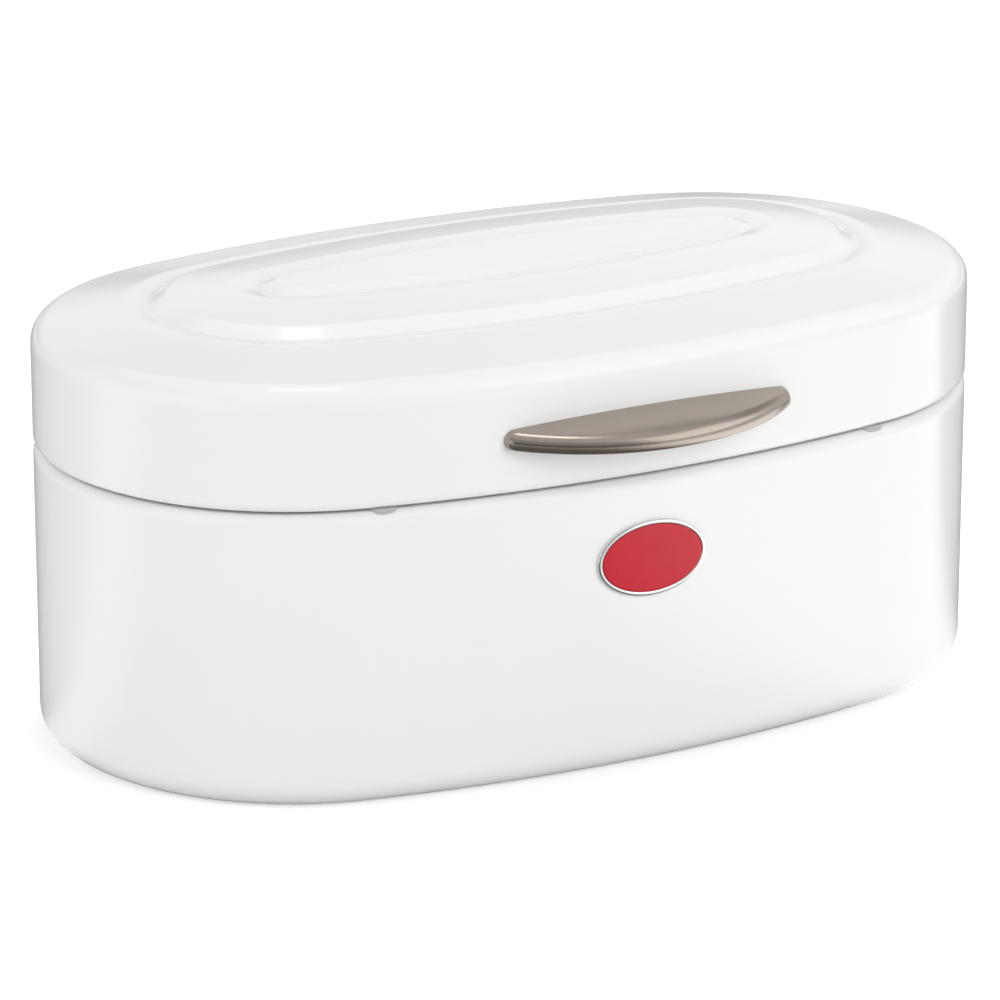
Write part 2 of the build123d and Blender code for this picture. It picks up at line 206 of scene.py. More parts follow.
# %% Draw a line with rounded corners
# A rounding has a point at every such turn. A straight has one this near to each of its ends, so
# that it shades flat.
TURN = math.radians(3.5)
SUPPORT = 0.5


def rounded_line(corners, radii):
    """Points along a line with rounded corners, each with the direction to its left."""
    points = []
    start = Vector(corners[0])
    for i, radius in enumerate((*radii, None), start=1):
        along = (Vector(corners[i]) - Vector(corners[i - 1])).normalized()
        left = Vector((-along.y, along.x))
        if radius is None:
            end = Vector(corners[i])
        else:
            after = (Vector(corners[i + 1]) - Vector(corners[i])).normalized()
            turn = math.atan2(along.x * after.y - along.y * after.x, along.dot(after))
            end = Vector(corners[i]) - along * radius * math.tan(abs(turn) / 2)
        support = along * min(SUPPORT, (end - start).length / 3)
        points += [(start, left), (start + support, left), (end - support, left), (end, left)]
        if radius is not None:
            side = math.copysign(1, turn)
            centre = end + left * radius * side
            steps = max(3, math.ceil(abs(turn) / TURN))
            for k in range(1, steps):
                cos, sin = math.cos(turn * k / steps), math.sin(turn * k / steps)
                bent = Vector((left.x * cos - left.y * sin, left.x * sin + left.y * cos))
                points.append((centre - bent * radius * side, bent))
            start = centre + Vector((after.y, -after.x)) * radius * side
    return points


# %% Draw the section of a sheet
def sheet_section(name, corners, radii, hand):
    """A curve object: the outside of the sheet from the flat to the cut edge, and the inside back.
    The inside lies on the left of that way where hand is 1, on the right where it is -1."""
    outside = rounded_line(corners, radii)
    inside = [point + left * sheet * hand for point, left in reversed(outside)]
    line = [point for point, left in outside] + inside
    curve = bpy.data.curves.new(name, "CURVE")
    spline = curve.splines.new("POLY")
    spline.points.add(len(line) - 1)
    for place, point in zip(spline.points, line):
        place.co = (point.x * MM, -point.y * MM, 0, 1)
    print(name, "section of", len(line), "points")
    return new_object(name, curve)


# %% Start and end a tree
def new_tree(name, sizes):
    """A Geometry Nodes tree with a geometry and these named inputs, and a wire to build from."""
    tree = bpy.data.node_groups.new(name, "GeometryNodeTree")
    kinds = {int: "NodeSocketInt", float: "NodeSocketFloat", None: "NodeSocketMaterial"}
    tree.interface.new_socket("Geometry", in_out="INPUT", socket_type="NodeSocketGeometry")
    tree.interface.new_socket("Geometry", in_out="OUTPUT", socket_type="NodeSocketGeometry")
    for label, kind in (*sizes.items(), ("Material", None)):
        tree.interface.new_socket(label, in_out="INPUT", socket_type=kinds[kind])
    given = tree.nodes.new("NodeGroupInput")
    return tree, Wire(tree), {s.name: Wire(tree, s) for s in given.outputs if s.name}


def end_tree(wire, geometry, material):
    """Real meshes with their finish, at the tree's output."""
    solid = wire.node("GeometryNodeRealizeInstances", {}, {"Geometry": geometry})
    solid = wire.node("GeometryNodeSetMaterial", {}, {"Geometry": solid, "Material": material})
    out = wire.tree.nodes.new("NodeGroupOutput")
    wire.tree.links.new(solid.socket, out.inputs["Geometry"])


# %% The tree that sweeps a shell
def oval_path(wire, given):
    """The oval. A point's number gives the direction that it faces."""
    circle = wire.node("GeometryNodeCurvePrimitiveCircle", {}, {"Resolution": given["Steps"]})
    angle = wire.node("GeometryNodeInputIndex") * math.tau / given["Steps"]
    cos = wire.math("COSINE", angle)
    sin = wire.math("SINE", angle)
    reach = wire.math("SQRT", given["End Centre"] * given["End Centre"]
                      + given["Side Centre"] * given["Side Centre"])
    on_end = wire.math("GREATER_THAN", wire.math("ABSOLUTE", cos), given["End Centre"] / reach)
    radius = on_end * given["End Radius"] + (1 - on_end) * given["Side Radius"]
    x = radius * cos + on_end * wire.math("SIGN", cos) * given["End Centre"]
    y = radius * sin - (1 - on_end) * wire.math("SIGN", sin) * given["Side Centre"]
    point = wire.node("ShaderNodeCombineXYZ", {}, {"X": x, "Y": y})
    return wire.node("GeometryNodeSetPosition", {}, {"Geometry": circle, "Position": point})


def make_shell_tree():
    sizes = {"Steps": int, "End Radius": float, "End Centre": float, "Side Radius": float,
             "Side Centre": float}
    tree, wire, given = new_tree("swept_shell", sizes)
    path = oval_path(wire, given)
    path = wire.node("GeometryNodeSetCurveNormal", {"mode": "Z_UP"}, {"Curve": path})
    swept = wire.node("GeometryNodeCurveToMesh", {},
                      {"Curve": path, "Profile Curve": given["Geometry"]})
    end_tree(wire, swept, given["Material"])
    return tree


shell_tree = make_shell_tree()
print("made the tree", shell_tree.name)


# %% From a tree to a plain mesh
def run_tree(piece, tree, **values):
    """Gives an object the tree with these inputs, and returns what comes out as a plain mesh."""
    modifier = piece.modifiers.new(tree.name, "NODES")
    modifier.node_group = tree
    for item in tree.interface.items_tree:
        label = item.name.replace(" ", "_").lower()
        if item.in_out == "INPUT" and label in values:
            modifier[item.identifier] = values[label]
    bpy.context.view_layer.update()
    graph = bpy.context.evaluated_depsgraph_get()
    return bpy.data.meshes.new_from_object(piece.evaluated_get(graph), depsgraph=graph)


# %% Finish a mesh and seat it
SHARP = math.radians(40)
MERGE = 0.002 * MM


def finish_mesh(name, mesh, material):
    """Merges doubles, closes open ends, turns the faces outwards, shades smooth between sharp edges."""
    bm = bmesh.new()
    bm.from_mesh(mesh)
    bmesh.ops.remove_doubles(bm, verts=bm.verts, dist=MERGE)
    bmesh.ops.edgeloop_fill(bm, edges=[edge for edge in bm.edges if edge.is_boundary])
    bmesh.ops.recalc_face_normals(bm, faces=bm.faces)
    for face in bm.faces:
        face.smooth = True
    for edge in bm.edges:
        edge.smooth = len(edge.link_faces) == 2 and edge.calc_face_angle(0.0) < SHARP
    open_edges = sum(len(edge.link_faces) != 2 for edge in bm.edges)
    bm.to_mesh(mesh)
    bm.free()
    mesh.name = name
    mesh.materials.clear()
    mesh.materials.append(material)
    print(name, len(mesh.polygons), "faces,", open_edges, "open edges")
    return new_object(name, mesh)


def seat(piece, body, slot, *nodes):
    """The piece stands for these CAD nodes and moves with a body. The slot is not used."""
    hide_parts(*nodes)
    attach(piece, body)


# %% Sweep a shell
OVAL = {"steps": 290, "end_radius": end_radius * MM, "end_centre": end_centre * MM,
        "side_radius": side_radius * MM, "side_centre": side_centre * MM}


def sweep_shell(name, corners, radii, hand):
    """A shell from its section, with the flat in its middle still open."""
    section = sheet_section(name + "_section", corners, radii, hand)
    mesh = run_tree(section, shell_tree, material=white_coat, **OVAL)
    bpy.data.objects.remove(section)
    return mesh


# %% [markdown]
# ## The body
# The floor is pressed up by a couple of millimetres inside a flat ring, so that the box stands on
# the ring and doesn't rock. The wall rises straight from a rounded edge, and the mouth is rolled
# inwards with its cut edge turned down, so that no sharp sheet meets a hand.

# %% Body shell
rim_top = 101.7
rim_width, lip_depth, lip_radius = 10.0, 4.0, 1.6
base_radius, rim_radius, standing_ring = 10.5, 3.5, 12.0
floor_edge = base_radius + standing_ring
floor_step, floor_lift, floor_radius, floor_land = 4.0, 2.0, 3.0, 3.0
floor_inset = floor_edge + floor_step + floor_land

body_mesh = sweep_shell(
    "body_shell",
    [(-floor_inset, floor_lift), (-floor_edge - floor_step, floor_lift), (-floor_edge, 0), (0, 0),
     (0, rim_top), (-rim_width, rim_top), (-rim_width, rim_top - lip_depth)],
    [floor_radius, floor_radius, base_radius, rim_radius, lip_radius], 1)
body_plain = finish_mesh("body_plain", body_mesh, white_coat)

# %% [markdown]
# Bread needs a little air, so a row of small holes is punched through the back wall before the box
# is coated. They could be dark dots in the finish, but then no light would fall through them. So a
# tree sets out one cylinder for each hole and cuts them all from the wall.


# %% Vents
vent_count, vent_pitch, vent_diameter, vent_z = 9, 14.0, 5.0, rim_top - 41.7
punch_depth = 20.0


def make_vent_tree():
    sizes = {"Count": int, "Pitch": float, "Height": float, "Diameter": float, "Wall": float}
    tree, wire, given = new_tree("row_of_vents", sizes)
    line = wire.node("GeometryNodeMeshLine", {}, {"Count": given["Count"]})
    x = (wire.node("GeometryNodeInputIndex") - (given["Count"] - 1) / 2) * given["Pitch"]
    spot = wire.node("ShaderNodeCombineXYZ", {}, {"X": x, "Y": given["Wall"], "Z": given["Height"]})
    line = wire.node("GeometryNodeSetPosition", {}, {"Geometry": line, "Position": spot})
    punch = wire.node("GeometryNodeMeshCylinder", {},
                      {"Vertices": 40, "Radius": given["Diameter"] / 2, "Depth": punch_depth * MM})
    punches = wire.node("GeometryNodeInstanceOnPoints", {},
                        {"Points": line, "Instance": punch, "Rotation": (math.pi / 2, 0, 0)})
    punches = wire.node("GeometryNodeRealizeInstances", {}, {"Geometry": punches})
    cut = wire.node("GeometryNodeMeshBoolean", {"operation": "DIFFERENCE", "solver": "MANIFOLD"},
                    {"Mesh 1": given["Geometry"], "Mesh 2": punches})
    end_tree(wire, cut, given["Material"])
    return tree


vented = run_tree(body_plain, make_vent_tree(), material=white_coat, count=vent_count,
                  pitch=vent_pitch * MM, height=vent_z * MM, diameter=vent_diameter * MM,
                  wall=width / 2 * MM)
bpy.data.objects.remove(body_plain)
body_shell = finish_mesh("body", vented, white_coat)
seat(body_shell, "base", "white_coat", "body_shell")

# %% [markdown]
# ## The lid
# The lid has the same rolled edge, a straight skirt and a domed crown with a flat top. Two oval
# grooves are pressed into the dome. They aren't only decoration: they stiffen a large thin sheet
# that would otherwise drum and dent. A groove has a soft outer lip, a narrow bottom and a crisper
# crest inside, as a press leaves it, and these three give it its thin shadow and its light band.
# The lid is swept like the body, so the grooves are real forms that also show inside.

# %% Lid shell
lid_bottom = rim_top + 1.0
corner_z = lid_bottom + 40.8
lid_edge_radius, crown_radius = 3.0, 8.0
lip_1, lip_1_z = 33.2, corner_z + 6.3
groove_1, groove_1_z = lip_1 + 6.0, lip_1_z - 1.3
crest_1, crest_1_z = groove_1 + 6.2, groove_1_z + 4.1
plateau_width = 30.6
crest_2 = (width - plateau_width) / 2
groove_2 = crest_2 - 6.4
lip_2 = groove_2 - 7.0
terrace, terrace_z = (crest_1 + lip_2) / 2, crest_1_z + 1.5
lip_2_z = terrace_z + 1.1
groove_2_z = lip_2_z - 1.1
crown_z = groove_2_z + 1.9
plateau_land = 2.0
groove_radius, lip_round, crest_round, terrace_radius = 4.5, 18.0, 3.0, 160.0

lid_mesh = sweep_shell(
    "lid_shell",
    [(-crest_2 - plateau_land, crown_z), (-crest_2, crown_z), (-groove_2, groove_2_z),
     (-lip_2, lip_2_z), (-terrace, terrace_z), (-crest_1, crest_1_z), (-groove_1, groove_1_z),
     (-lip_1, lip_1_z), (0, corner_z), (0, lid_bottom), (-rim_width, lid_bottom),
     (-rim_width, lid_bottom + lip_depth)],
    [crest_round, groove_radius, lip_round, terrace_radius, crest_round, groove_radius, lip_round,
     crown_radius, lid_edge_radius, lip_radius], -1)
lid_shell = finish_mesh("lid", lid_mesh, white_coat)
seat(lid_shell, "lid", "white_coat", "lid_shell")

# %% [markdown]
# ## The handle
# The handle is a zinc casting, plated with satin nickel: a half-moon plate with an arched back edge
# that falls towards its rounded front, so that fingers find the hollow under it. Two bosses cross
# the hollow and take the screws. A subdivided block would pull the bow out of true, so the handle
# is built from sections instead. Each stands square to the outline, and all have the same points:
# over the top, down the front, under the lip, round the hollow and back to the lid.


# %% Skin over rows of points
def skin(name, rows, loop=False):
    """A mesh over rings of points, one ring to a row. With loop the last row joins the first."""
    across = len(rows[0])
    faces = []
    for i in range(len(rows) if loop else len(rows) - 1):
        for j in range(across):
            below, beside = (i + 1) % len(rows), (j + 1) % across
            faces.append((i * across + j, i * across + beside,
                          below * across + beside, below * across + j))
    mesh = bpy.data.meshes.new(name)
    mesh.from_pydata([tuple(Vector(point) * MM) for row in rows for point in row], [], faces)
    return mesh


def joined(name, meshes):
    """One mesh out of several."""
    bm = bmesh.new()
    for mesh in meshes:
        bm.from_mesh(mesh)
    together = bpy.data.meshes.new(name)
    bm.to_mesh(together)
    bm.free()
    return together


# %% Outline of the handle
handle_span, handle_reach, tip_radius = 108.0, 20.0, 5.0
tip_x = handle_span / 2 - tip_radius
tip_y = -wall_depth(tip_x)
bow_depth = width / 2 + handle_reach + tip_y
bow = (tip_x**2 + bow_depth**2 - tip_radius**2) / (2 * (bow_depth - tip_radius))
bow_y = bow - width / 2 - handle_reach
tip_turn = math.atan2(bow_y - tip_y, tip_x)
wall_turn = math.asin(tip_x / side_radius) + math.asin(tip_radius / 2 / side_radius)
print("handle's bow of radius", round(bow, 1), "between tips at", round(tip_x, 1))


def outline_at(turn):
    """A point of the outline and the way it faces. The turn is nought in the middle of the bow and
    grows to the right."""
    facing = Vector((math.sin(turn), -math.cos(turn)))
    if abs(turn) < math.pi / 2 - tip_turn:
        return Vector((0, bow_y)) + facing * bow, facing
    return Vector((math.copysign(tip_x, turn), tip_y)) + facing * tip_radius, facing


# %% Places on the handle
handle_top, handle_thickness, handle_droop, handle_fall = lid_bottom + 24.2, 5.8, 3.0, 4.4
handle_lip, handle_back, handle_hollow = 4.0, 3.0, 3.2
NEAR_WALL, NO_ROOM = 0.3, 0.2


def on_plate(place, below):
    """A point this far below the plate's top, which is arched and falls to the front."""
    arched = handle_top - handle_droop * (2 * place.x / handle_span) ** 2
    return (*place, arched + handle_fall / handle_reach * (place.y + width / 2) - below)


def at_wall(place, proud=0.0):
    """The point of the front wall with the same X."""
    return Vector((place.x, -wall_depth(place.x) - proud))


def to_wall(place):
    """The point of the wall behind a place, or the place itself where it is at the wall already."""
    return at_wall(place) if at_wall(place).y - place.y > NEAR_WALL else place


def hollow_room(turn):
    """Width of the hollow between the front lip and the back wall, below nought where they meet."""
    point, facing = outline_at(turn)
    front = point - facing * handle_lip
    return at_wall(front, handle_back).y - front.y


# %% A section of the handle
top_round, under_round, edge_support = 3.4, 1.8, 0.3
TOP_STEPS, UNDER_STEPS = 9, 6


def handle_section(turn, hollow):
    """A ring of points square to the outline, with the hollow's depth."""
    point, facing = outline_at(turn)
    inner = point - facing * top_round
    ring = [on_plate(to_wall(inner).lerp(inner, k / 3), 0) for k in range(4)]
    for k in range(1, TOP_STEPS + 1):
        angle = math.pi / 2 * k / TOP_STEPS
        ring.append(on_plate(inner + facing * top_round * math.sin(angle),
                             top_round * (1 - math.cos(angle))))
    for below in (top_round + edge_support, handle_thickness - under_round - edge_support):
        ring.append(on_plate(point, below))
    for k in range(UNDER_STEPS + 1):
        angle = math.pi / 2 * k / UNDER_STEPS
        ring.append(on_plate(point - facing * under_round * (1 - math.cos(angle)),
                             handle_thickness - under_round * (1 - math.sin(angle))))
    front = point - facing * handle_lip
    rear = at_wall(front, handle_back)
    if hollow_room(turn) < NO_ROOM:
        rear = front
    for place, below in ((front, 0), (front, hollow), (rear, hollow), (rear, 0), (to_wall(rear), 0)):
        ring.append(on_plate(place, handle_thickness - below))
    return ring


# %% Sections of the handle
SECTION_TURN = 0.04
screw_pitch, screw_z = 64.0, handle_top - 5.6
boss_width, boss_reach, boss_foot = 10.0, 9.0, 4.0
turn_end = math.pi / 2 + wall_turn
inwards = (turn_end - k * 0.001 for k in range(3000))
hollow_end = next(turn for turn in inwards if hollow_room(turn) > NO_ROOM)
boss_turns = [math.asin((screw_pitch + boss_width * side) / 2 / (bow - handle_lip))
              for side in (-1, 1)]
stops = [(boss_turns[0], handle_hollow), (boss_turns[1], 0),
         (hollow_end, handle_hollow), (turn_end, 0)]
sections = []
begin = 0.0
for stop, hollow in stops:
    steps = max(4, math.ceil((stop - begin) / SECTION_TURN))
    sections += [(begin + (stop - begin) * k / steps, hollow) for k in range(steps + 1)]
    begin = stop
handle_rows = [handle_section(-turn, hollow) for turn, hollow in reversed(sections)]
handle_rows += [handle_section(turn, hollow) for turn, hollow in sections[1:]]
print("handle of", len(handle_rows), "sections,", len(handle_rows[0]), "points each")


# %% Bosses
boss_edge = 0.6


def boss_ring(x, inset, z, radius=1.5):
    """A rounded oblong from the wall outwards, drawn in by inset."""
    ring = []
    half, depth = boss_width / 2 - inset, boss_reach - inset
    for turn in range(0, 360, 15):
        angle = math.radians(turn)
        cos, sin = math.cos(angle), math.sin(angle)
        across = x + math.copysign(half - radius, cos) * (abs(cos) > 0.001) + radius * cos
        out = depth / 2 + math.copysign(depth / 2 - radius, sin) * (abs(sin) > 0.001) + radius * sin
        ring.append((across, -wall_depth(across) - out, z))
    return ring


boss_low = screw_z - boss_foot
bosses = [skin("boss", [boss_ring(x, boss_edge, boss_low),
                        boss_ring(x, boss_edge / 3, boss_low + boss_edge / 3),
                        boss_ring(x, 0, boss_low + boss_edge), boss_ring(x, 0, screw_z)])
          for x in (-screw_pitch / 2, screw_pitch / 2)]
print("bosses from", round(boss_low, 1), "up to", round(screw_z, 1))

# %% [markdown]
# Satin nickel is plated over a casting that was blasted with fine beads, so it scatters light
# without any direction. Nickel is a little yellow beside chrome. Its gloss drifts with handling,
# and the beads leave a grain that only shows close by.


# %% Satin nickel
def make_satin_nickel():
    material, shader, wire, place = start_material("satin_nickel", Metallic=1.0)
    handling = noise(wire, place, 22, detail=3.0)
    beads = noise(wire, place, 0.35, detail=1.0)
    feed(shader, "Base Color", tint(wire, handling, (0.38, 0.335, 0.29), (0.43, 0.375, 0.33)))
    feed(shader, "Roughness", 0.18 + 0.06 * handling + 0.05 * beads)
    feed(shader, "Normal", bump(wire, beads, 0.12, 0.02))
    return material


satin_nickel = make_satin_nickel()
casting = joined("handle", [skin("plate", handle_rows), *bosses])
handle = finish_mesh("handle_casting", casting, satin_nickel)
seat(handle, "lid", "satin_nickel", "handle")

# %% [markdown]
# ## The badge
# A small oval plate is stuck to the front. It is pressed from bright metal with a narrow rounded
# rim, follows the swell of the wall, and its pocket is filled with a plain red resin that sinks a
# little in the middle as it sets. Rim and filling are rings of points round one oval, each ring
# with its own distance from the edge and its own height over the wall. The metal is bright and a
# little worn, and the resin keeps the gloss and the faint ripple of something poured.

# %% Rings on the wall
badge_width, badge_tall, badge_z = 41.0, 26.0, rim_top - 27.7
badge_rim, fill_inset = 1.5, 1.53
RING_STEPS = 128


def badge_ring(inset, height, share=1.0):
    """A ring drawn in by inset from the badge's edge, shrunk to a share and this high on the wall."""
    ring = []
    for k in range(RING_STEPS):
        angle = math.tau * k / RING_STEPS
        x = (badge_width / 2 - inset) * share * math.cos(angle)
        z = badge_z + (badge_tall / 2 - inset) * share * math.sin(angle)
        ring.append((x, -wall_depth(x) - height, z))
    return ring


# %% Badge metal and resin
def make_badge_metal():
    material, shader, wire, place = start_material("badge_metal", Metallic=1.0)
    wear = noise(wire, place, 6, detail=3.0)
    feed(shader, "Base Color", tint(wire, wear, (0.76, 0.765, 0.77), (0.84, 0.84, 0.84)))
    feed(shader, "Roughness", 0.12 + 0.08 * wear)
    return material


def make_badge_red():
    material, shader, wire, place = start_material("badge_red", IOR=1.5)
    cloud = noise(wire, place, 9, detail=2.0)
    ripple = noise(wire, place, 5, detail=0.0)
    feed(shader, "Base Color", tint(wire, cloud, (0.50, 0.004, 0.016), (0.56, 0.006, 0.022)))
    feed(shader, "Roughness", 0.16 + 0.08 * cloud)
    feed(shader, "Normal", bump(wire, ripple, 0.2, 0.03))
    return material


badge_metal = make_badge_metal()
badge_red = make_badge_red()

# %% Badge plate
glue, rim_side, rim_round, rim_inside, pocket = 0.05, 0.75, 0.55, 0.7, 0.45
edge = [(0.0, glue), (0.0, rim_side)]
edge += [(rim_round - rim_round * math.cos(turn), rim_side + rim_round * math.sin(turn))
         for turn in (0.3, 0.6, 0.9, 1.2, 1.5)]
edge += [(badge_rim - rim_round + rim_round * math.sin(turn), rim_side + rim_round * math.cos(turn))
         for turn in (0.1, 0.4, 0.7, 1.0, 1.3)]
edge += [(badge_rim, rim_inside), (badge_rim, pocket)]
plate_rows = [badge_ring(inset, height) for inset, height in edge]
badge_plate = finish_mesh("badge_rim", skin("badge_plate", plate_rows), badge_metal)
seat(badge_plate, "base", "badge_metal", "badge_plate")

# %% Badge filling
fill_foot, fill_side, fill_shoulder, fill_top, fill_sink = 0.48, 1.02, 1.1, 1.12, 0.09
fill_rows = [badge_ring(fill_inset, fill_foot), badge_ring(fill_inset, fill_side),
             badge_ring(fill_inset, fill_shoulder, 0.99)]
fill_rows += [badge_ring(fill_inset, fill_top - fill_sink * (1 - share**2), share)
              for share in (0.97, 0.9, 0.75, 0.5, 0.25, 0.0)]
badge_fill = finish_mesh("badge_filling", skin("badge_fill", fill_rows), badge_red)
seat(badge_fill, "base", "badge_red", "badge_fill")

# %% [markdown]
# ## Buffers in the seam
# Two clear silicone buttons sit on the body's rim and keep the lid from ringing on it. Each is a
# soft disc whose outer edge is drawn down over the rounding of the rim. A flat cylinder would hang
# over that rounding, so a button is made from rings, and its lower rings lie on the rim. It lets
# light through, a little milky, and its surface is matt from the mould.


# %% Clear silicone
def make_clear_silicone():
    material, shader, wire, place = start_material("clear_silicone", IOR=1.41, Transmission_Weight=0.55)
    milk = noise(wire, place, 3, detail=2.0)
    feed(shader, "Base Color", tint(wire, milk, (0.74, 0.75, 0.75), (0.82, 0.83, 0.83)))
    feed(shader, "Roughness", 0.28 + 0.12 * milk)
    return material


clear_silicone = make_clear_silicone()

# %% Buffers
buffer_x, buffer_radius, buffer_inset = 94.0, 5.0, 5.3
buffer_top, buffer_drop = lid_bottom - 0.15, 0.75
button_top = ((0, 0.45), (0.06, 0.27), (0.2, 0.11), (0.45, 0), (2.5, 0), (buffer_radius, 0))


def rim_height(point):
    """Height of the rim under a point, followed down its rounding as far as the button goes."""
    inset = side_radius - math.hypot(point.x, side_centre - point.y)
    drop = max(0.0, rim_radius - inset)
    rounding = rim_radius - math.sqrt(max(0.0, rim_radius**2 - drop**2))
    return rim_top - min(buffer_drop, rounding)


def buffer_ring(centre, radius, lift):
    """A ring of the button: on the rim where lift is nothing, else at this height."""
    ring = []
    for k in range(48):
        spot = centre + Vector((math.cos(math.tau * k / 48), math.sin(math.tau * k / 48))) * radius
        ring.append((*spot, rim_height(spot) if lift is None else lift))
    return ring


for name, node, hand in (("button_left", "buffer_left", -1), ("button_right", "buffer_right", 1)):
    lean = hand * buffer_x / side_radius
    outwards = Vector((lean, -math.sqrt(1 - lean**2)))
    centre = Vector((0, side_centre)) + outwards * (side_radius - buffer_inset)
    rows = [buffer_ring(centre, buffer_radius * share, None)
            for share in (0.0, 0.4, 0.7, 0.85, 0.95, 1.0)]
    rows += [buffer_ring(centre, buffer_radius - inset, buffer_top - below)
             for inset, below in button_top]
    seat(finish_mesh(name, skin(name, rows), clear_silicone), "base", "clear_silicone", node)

# %% [markdown]
# ## The hinge
# A knuckle hinge holds the lid at the back. Its leaves are pressed steel, bent to the wall and coated
# with the box, and its knuckles are rolled round a zinc-plated pin. Every knuckle of the lid's leaf
# carries a heel that meets the body's leaf at 95 degrees and stops the lid. Seen from its end, a
# knuckle is a line round the pin that reaches out to the leaf and to the heel, so it is drawn by how
# far it reaches in each direction.

# %% Reach of a knuckle
hinge_y, hinge_z = width / 2 + 3.4, rim_top + 0.5
hinge_length, barrel_radius, bore_radius = 72.0, 3.0, 1.55
leaf_thickness, leaf_height, leaf_relief = 1.2, 15.0, 3.4
knuckle_pitch, knuckle_gap = hinge_length / 5, 0.3
heel_angle, heel_reach = math.radians(95), 5.8
heel_low, heel_high = (-1.9, -heel_reach), (0.3, -1.0)


def ray_out(low, high, cos, sin):
    """How far a ray from the pin goes before it leaves an oblong, or nothing where it misses it."""
    enter, leave = 0.0, 1e9
    for step, first, last in ((cos, low[0], high[0]), (sin, low[1], high[1])):
        if abs(step) < 1e-9:
            if not first <= 0 <= last:
                return 0.0
            continue
        near, far = sorted((first / step, last / step))
        enter, leave = max(enter, near), min(leave, far)
    return leave if leave > enter else 0.0


def knuckle_reach(angle, heel):
    """How far a knuckle reaches in a direction, counted from straight out of the back."""
    web_high = (0, leaf_relief + leaf_thickness)
    web = ray_out((-leaf_relief, 0), web_high, math.cos(angle), math.sin(angle))
    swung = angle - heel_angle
    stop = ray_out(heel_low, heel_high, math.cos(swung), math.sin(swung)) if heel else 0.0
    return max(barrel_radius, web, stop)


# %% A knuckle
def knuckle(number, up, heel):
    """A knuckle in its place along the pin, with its bore. Up is 1 for the lid's leaf, -1 for the
    body's."""
    steps = 180
    reach = [knuckle_reach(math.tau * k / steps, heel) for k in range(steps)]
    reach = [sum(reach[(k + d) % steps] for d in (-1, 0, 1)) / 3 for k in range(steps)]
    start = -hinge_length / 2 + number * knuckle_pitch + knuckle_gap / 2
    end = start + knuckle_pitch - knuckle_gap
    rows = []
    for x, shrink in ((start, 0.25), (start + 0.07, 0.07), (start + 0.25, 0), (end - 0.25, 0),
                      (end - 0.07, 0.07), (end, 0.25), (end, None), (start, None)):
        row = []
        for k in range(steps):
            far = bore_radius if shrink is None else reach[k] - shrink
            y = hinge_y + far * math.cos(math.tau * k / steps)
            z = hinge_z + up * far * math.sin(math.tau * k / steps)
            row.append((x, max(y, wall_depth(x)), z))
        rows.append(row)
    return skin("knuckle", rows, loop=True)


# %% The plate of a leaf
LEAF_STEPS = 40
leaf_round, leaf_tuck = 0.35, 0.3


def leaf(up):
    """The plate of a leaf: a flat ring of points at each X, following the wall."""
    rows = []
    for k in range(LEAF_STEPS + 1):
        x = -hinge_length / 2 + hinge_length * k / LEAF_STEPS
        tuck = leaf_tuck if k in (0, LEAF_STEPS) else 0.0
        face, end = leaf_thickness - tuck, leaf_height - tuck
        ring = [(0, leaf_relief), (face, leaf_relief), (face, end - leaf_round),
                (face - 0.1, end - 0.1), (face - leaf_round, end), (0, end)]
        rows.append([(x, wall_depth(x) + out, hinge_z + up * far) for out, far in ring])
    return skin("leaf", rows)


# %% Hinge leaves
hinge_coat = make_white_coat("hinge_coat")
body_leaf = joined("hinge_body_leaf", [leaf(-1), *[knuckle(n, -1, False) for n in (0, 2, 4)]])
seat(finish_mesh("leaf_on_body", body_leaf, hinge_coat), "base", "hinge_steel", "hinge_body_leaf")
lid_leaf = joined("hinge_lid_leaf", [leaf(1), *[knuckle(n, 1, True) for n in (1, 3)]])
seat(finish_mesh("leaf_on_lid", lid_leaf, hinge_coat), "lid", "hinge_steel", "hinge_lid_leaf")

# %% [markdown]
# The pin and the screws are steel with a thin zinc plate, grey and a little blotched. The rivets are
# bare aluminium, which is lighter. One function makes both, because they differ only in tone and
# gloss. The pin is a turned piece: a profile of radius and place, carried round its axis, with a
# domed head at each end that keeps it in the knuckles.


# %% Plated and bare metal
def make_plated(name, low, high, gloss):
    """Plain plated or bare metal, a little blotched."""
    material, shader, wire, place = start_material(name, Metallic=1.0)
    blotch = noise(wire, place, 4, detail=4.0, roughness=0.6)
    feed(shader, "Base Color", tint(wire, blotch, low, high))
    feed(shader, "Roughness", gloss + 0.15 * blotch)
    return material


zinc_steel = make_plated("zinc_steel", (0.60, 0.61, 0.63), (0.70, 0.71, 0.72), 0.24)
rivet_metal = make_plated("rivet_metal", (0.70, 0.71, 0.72), (0.78, 0.785, 0.79), 0.28)


# %% Turned pieces and the pin
def turned(name, profile, steps=40):
    """A turned piece, its axis along Y, from pairs of radius and place along it."""
    rows = [[(radius * math.cos(math.tau * k / steps), along, radius * math.sin(math.tau * k / steps))
             for k in range(steps)] for radius, along in profile]
    return skin(name, rows)


pin_half = hinge_length / 2 + 0.15
pin_end = [(0, 1.2), (1.2, 1.14), (1.9, 0.95), (2.27, 0.6), (2.4, 0.15), (2.4, 0), (1.5, 0)]
pin_profile = [(r, -pin_half - along) for r, along in pin_end]
pin_profile += [(r, pin_half + along) for r, along in reversed(pin_end)]
pin_mesh = turned("hinge_pin", pin_profile)
pin_place = Matrix.Translation((0, hinge_y * MM, hinge_z * MM))
pin_mesh.transform(pin_place @ Matrix.Rotation(math.pi / 2, 4, "Z"))
seat(finish_mesh("pin", pin_mesh, zinc_steel), "base", "zinc_steel", "hinge_pin")

